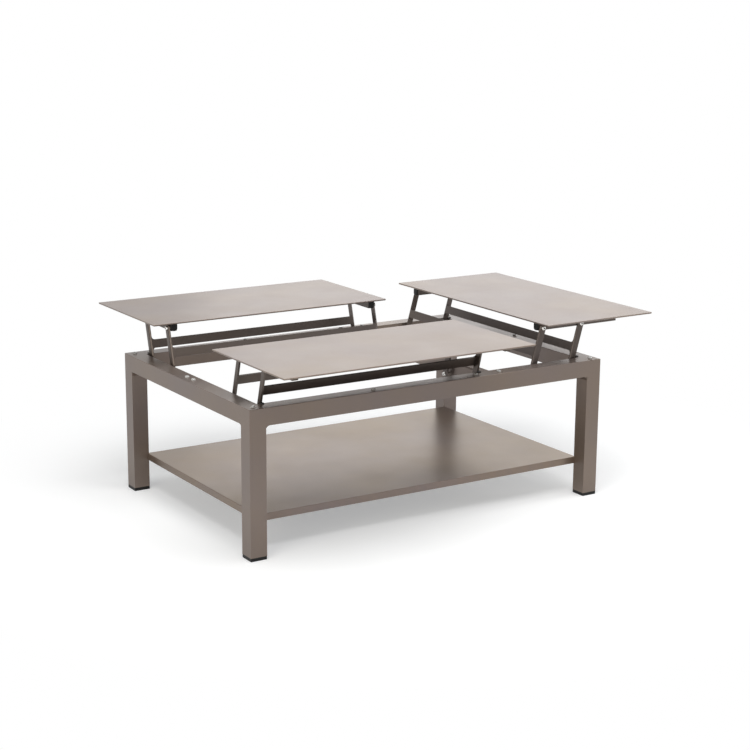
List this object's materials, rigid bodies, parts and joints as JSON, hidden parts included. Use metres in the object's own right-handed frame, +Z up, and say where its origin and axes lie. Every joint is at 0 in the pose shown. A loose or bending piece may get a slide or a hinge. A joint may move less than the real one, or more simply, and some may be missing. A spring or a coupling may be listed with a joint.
{
  "type": "lift-top table",
  "caption": "Low rectangular lounge table on square legs with a lower shelf and a sectioned sheet top, each section swinging up and outwards on its own parallel-arm linkage.",
  "frame": {"origin": "on the floor, under the middle of the whole table with its three tops open", "axes": "+Z up, +X along the long side towards the single end section, +Y from the front towards the back"},
  "size_m": [1.3954, 1.1756, 0.5506],
  "materials": {
    "frame_coat": "satin",
    "top_coat": "satin",
    "arm_coat": "satin",
    "stainless": "satin",
    "black_plastic": "matte",
    "black_rubber": "matte",
    "clear_bumper": "gloss"
  },
  "bodies": {
    "frame": {"front_left_leg": "frame_coat", "front_right_leg": "frame_coat", "back_left_leg": "frame_coat", "back_right_leg": "frame_coat", "front_rail": "frame_coat", "back_rail": "frame_coat", "left_rail": "frame_coat", "right_rail": "frame_coat", "centre_rail": "frame_coat", "front_pivot_plate": "frame_coat", "back_pivot_plate": "frame_coat", "shelf": "frame_coat", "left_shelf_stiffener": "frame_coat", "right_shelf_stiffener": "frame_coat", "feet": "black_plastic", "rail_bumpers": "clear_bumper", "lower_pivot_bolts": "stainless", "stop_pads": "black_rubber"},
    "front_inner_arms": {"front_inner_arms": "arm_coat"},
    "front_outer_arms": {"front_outer_arms": "arm_coat"},
    "front_top": {"front_top_sheet": "top_coat", "front_left_runner": "arm_coat", "front_right_runner": "arm_coat", "front_runner_caps": "black_plastic", "front_upper_bolts": "stainless"},
    "back_inner_arms": {"back_inner_arms": "arm_coat"},
    "back_outer_arms": {"back_outer_arms": "arm_coat"},
    "back_top": {"back_top_sheet": "top_coat", "back_right_runner": "arm_coat", "back_left_runner": "arm_coat", "back_runner_caps": "black_plastic", "back_upper_bolts": "stainless"},
    "right_inner_arms": {"right_inner_arms": "arm_coat"},
    "right_outer_arms": {"right_outer_arms": "arm_coat"},
    "right_top": {"right_top_sheet": "top_coat", "right_front_runner": "arm_coat", "right_back_runner": "arm_coat", "right_runner_caps": "black_plastic", "right_upper_bolts": "stainless"}
  },
  "joints": [
    {"name": "front_fold", "type": "hinge", "parent": "frame", "child": "front_inner_arms", "pos_m": [-0.27642, -0.18421, 0.38596], "axis": [1, 0, 0], "range_deg": [-94.5, 0]},
    {"name": "front_outer_fold", "type": "hinge", "parent": "frame", "child": "front_outer_arms", "pos_m": [-0.27642, -0.32821, 0.38596], "axis": [1, 0, 0], "range_deg": [-94.5, 0]},
    {"name": "front_level", "type": "hinge", "parent": "front_inner_arms", "child": "front_top", "pos_m": [-0.27642, -0.22376, 0.52858], "axis": [1, 0, 0], "range_deg": [0, 94.5]},
    {"name": "back_fold", "type": "hinge", "parent": "frame", "child": "back_inner_arms", "pos_m": [-0.27642, 0.18421, 0.38596], "axis": [-1, 0, 0], "range_deg": [-94.5, 0]},
    {"name": "back_outer_fold", "type": "hinge", "parent": "frame", "child": "back_outer_arms", "pos_m": [-0.27642, 0.32821, 0.38596], "axis": [-1, 0, 0], "range_deg": [-94.5, 0]},
    {"name": "back_level", "type": "hinge", "parent": "back_inner_arms", "child": "back_top", "pos_m": [-0.27642, 0.22376, 0.52858], "axis": [-1, 0, 0], "range_deg": [0, 94.5]},
    {"name": "right_fold", "type": "hinge", "parent": "frame", "child": "right_inner_arms", "pos_m": [0.28704, 0, 0.38596], "axis": [0, 1, 0], "range_deg": [-94.5, 0]},
    {"name": "right_outer_fold", "type": "hinge", "parent": "frame", "child": "right_outer_arms", "pos_m": [0.43104, 0, 0.38596], "axis": [0, 1, 0], "range_deg": [-94.5, 0]},
    {"name": "right_level", "type": "hinge", "parent": "right_inner_arms", "child": "right_top", "pos_m": [0.32659, 0, 0.52858], "axis": [0, 1, 0], "range_deg": [0, 94.5]}
  ],
  "couplings": [
    {"joint": "front_outer_fold", "follows": "front_fold", "ratio": 1},
    {"joint": "front_level", "follows": "front_fold", "ratio": -1},
    {"joint": "back_outer_fold", "follows": "back_fold", "ratio": 1},
    {"joint": "back_level", "follows": "back_fold", "ratio": -1},
    {"joint": "right_outer_fold", "follows": "right_fold", "ratio": 1},
    {"joint": "right_level", "follows": "right_fold", "ratio": -1}
  ]
}
